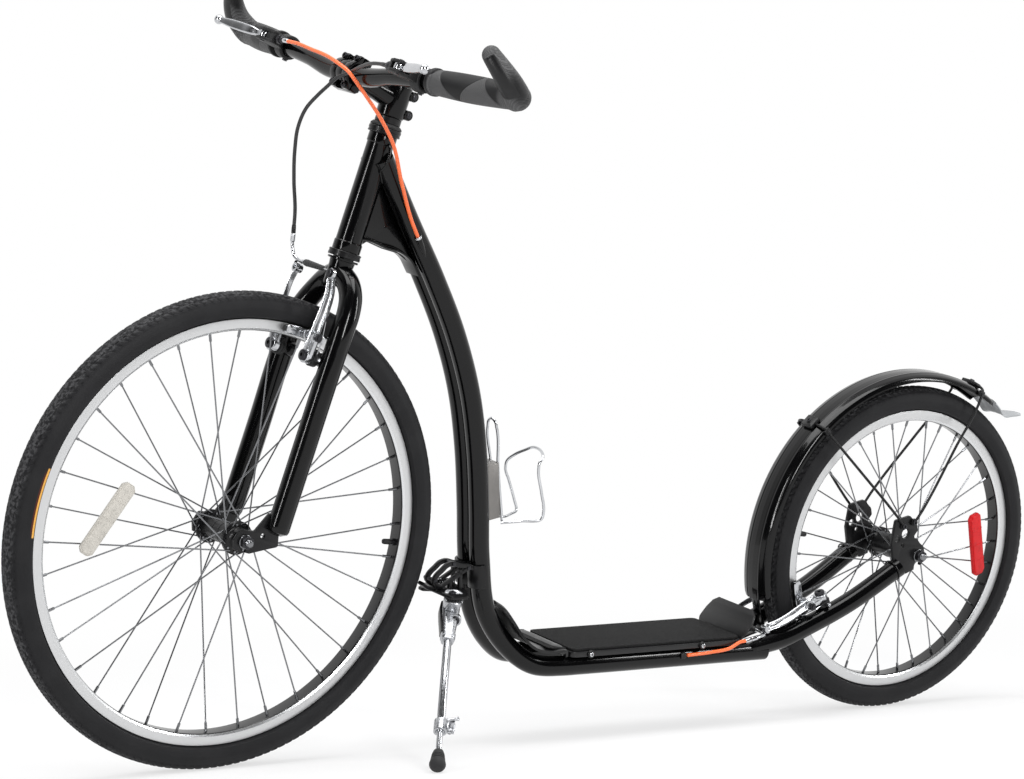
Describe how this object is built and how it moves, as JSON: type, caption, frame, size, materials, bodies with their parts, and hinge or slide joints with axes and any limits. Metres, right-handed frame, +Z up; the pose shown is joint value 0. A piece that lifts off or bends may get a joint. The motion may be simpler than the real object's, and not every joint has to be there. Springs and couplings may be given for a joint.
{
  "type": "kick scooter",
  "caption": "All-terrain kick scooter: large spoked front wheel, smaller rear wheel, low deck, rim brakes, fender, bottle cage and side stand.",
  "frame": {"origin": "on the ground, under the middle of the bounding box", "axes": "+X forward, +Y to the left of the rider, +Z up; the scooter leans to its left on its side stand"},
  "size_m": [1.7334, 0.6792, 1.0448],
  "materials": {
    "black_paint": "gloss black paint",
    "black_steel": "satin black steel",
    "black_plastic": "satin black plastic",
    "tyre_rubber": "matt dark rubber with tread",
    "grip_rubber": "matt dark rubber",
    "silver_alloy": "polished and brushed alloy",
    "bright_wire": "polished wire",
    "deck_mat": "coarse dark grip sheet",
    "orange_casing": "orange red plastic casing",
    "front_reflector": "clear ribbed plastic",
    "rear_reflector": "red ribbed plastic"
  },
  "bodies": {
    "scooter": {"bottle_cage": "bright_wire", "deck_front_guard": "black_plastic", "deck_mat": "deck_mat", "deck_plate": "black_plastic", "deck_rear_guard": "black_plastic", "fender_flap": "black_plastic", "fender_stay_front": "black_steel", "fender_stay_rear": "black_steel", "frame": "black_paint", "headset_lower_bearing": "silver_alloy", "headset_lower_cup": "black_steel", "headset_upper_bearing": "silver_alloy", "headset_upper_cup": "black_steel", "rear_axle": "black_steel", "rear_brake_boot": "grip_rubber", "rear_brake_cable_rear": "orange_casing", "rear_fender": "black_paint", "stand_bracket": "black_steel"},
    "steering": {"fork": "black_paint", "front_axle": "black_steel", "front_brake_boot": "grip_rubber", "front_brake_cable": "black_plastic", "handlebar": "black_paint", "headset_cover": "black_plastic", "left_grip": "grip_rubber", "left_lever_housing": "black_plastic", "rear_brake_cable_front": "orange_casing", "right_grip": "grip_rubber", "right_lever_housing": "black_plastic", "steerer_cap": "black_steel", "stem": "black_paint", "stem_faceplate": "black_paint", "stem_spacer": "black_steel"},
    "front_wheel": {"front_hub": "black_steel", "front_inner_tube": "grip_rubber", "front_reflector": "front_reflector", "front_rim": "silver_alloy", "front_tyre": "tyre_rubber"},
    "rear_wheel": {"rear_hub": "black_steel", "rear_inner_tube": "grip_rubber", "rear_reflector": "rear_reflector", "rear_rim": "silver_alloy", "rear_tyre": "tyre_rubber"},
    "left_lever": {"left_brake_lever": "silver_alloy"},
    "right_lever": {"right_brake_lever": "silver_alloy"},
    "front_left_arm": {"front_brake_arm_left": "silver_alloy", "front_brake_pad_left": "grip_rubber"},
    "front_right_arm": {"front_brake_arm_right": "silver_alloy", "front_brake_noodle": "bright_wire", "front_brake_pad_right": "grip_rubber"},
    "rear_left_arm": {"rear_brake_arm_left": "silver_alloy", "rear_brake_noodle": "bright_wire", "rear_brake_pad_left": "grip_rubber"},
    "rear_right_arm": {"rear_brake_arm_right": "silver_alloy", "rear_brake_pad_right": "grip_rubber"},
    "stand": {"stand_clamp": "silver_alloy", "stand_leg": "silver_alloy"},
    "stand_slide": {"stand_foot": "grip_rubber", "stand_inner_leg": "silver_alloy"}
  },
  "joints": [
    {"name": "steering", "type": "hinge", "parent": "scooter", "child": "steering", "pos_m": [0.39517, -0.04444, 0.68464], "axis": [-0.2639, 0.162, 0.9509], "range_deg": [-50, 50], "deforming": ["rear_brake_cable_front"]},
    {"name": "front_wheel_spin", "type": "hinge", "parent": "steering", "child": "front_wheel", "pos_m": [0.5458, -0.10699, 0.31743], "axis": [0, 0.9858, -0.1679], "continuous": true},
    {"name": "rear_wheel_spin", "type": "hinge", "parent": "scooter", "child": "rear_wheel", "pos_m": [-0.6212, -0.11983, 0.24202], "axis": [0, 0.9858, -0.1679], "continuous": true},
    {"name": "left_lever_pull", "type": "hinge", "parent": "steering", "child": "left_lever", "pos_m": [0.44714, 0.16256, 0.91731], "axis": [-0.3875, 0.1548, 0.9088], "range_deg": [0, 20]},
    {"name": "right_lever_pull", "type": "hinge", "parent": "steering", "child": "right_lever", "pos_m": [0.44714, -0.16275, 0.97272], "axis": [-0.3875, 0.1548, 0.9088], "range_deg": [-20, 0]},
    {"name": "front_left_arm_turn", "type": "hinge", "parent": "steering", "child": "front_left_arm", "pos_m": [0.44025, -0.02625, 0.54129], "axis": [0.9646, 0.0443, 0.2601], "range_deg": [0, 2.3], "deforming": ["front_brake_boot"]},
    {"name": "front_right_arm_turn", "type": "hinge", "parent": "steering", "child": "front_right_arm", "pos_m": [0.44025, -0.10906, 0.55539], "axis": [0.9646, 0.0443, 0.2601], "range_deg": [-2.3, 0], "deforming": ["front_brake_boot", "front_brake_cable"]},
    {"name": "rear_left_arm_turn", "type": "hinge", "parent": "scooter", "child": "rear_left_arm", "pos_m": [-0.46466, -0.09235, 0.15323], "axis": [0.4091, 0.1532, 0.8995], "range_deg": [-2.3, 0], "deforming": ["rear_brake_boot", "rear_brake_cable_rear"]},
    {"name": "rear_right_arm_turn", "type": "hinge", "parent": "scooter", "child": "rear_right_arm", "pos_m": [-0.46466, -0.17516, 0.16733], "axis": [0.4091, 0.1532, 0.8995], "range_deg": [0, 2.3], "deforming": ["rear_brake_boot"]},
    {"name": "stand_fold", "type": "hinge", "parent": "scooter", "child": "stand", "pos_m": [0.1938, -0.09739, 0.19508], "axis": [0.2388, 0.6688, 0.704], "range_deg": [0, 106]},
    {"name": "stand_length", "type": "slide", "parent": "stand", "child": "stand_slide", "axis": [0.4568, 0.5624, -0.6892], "range_m": [-0.03, 0.03]}
  ],
  "couplings": [
    {"joint": "front_left_arm_turn", "follows": "left_lever_pull", "ratio": 0.11},
    {"joint": "front_right_arm_turn", "follows": "left_lever_pull", "ratio": -0.11},
    {"joint": "rear_left_arm_turn", "follows": "right_lever_pull", "ratio": 0.11},
    {"joint": "rear_right_arm_turn", "follows": "right_lever_pull", "ratio": -0.11}
  ]
}
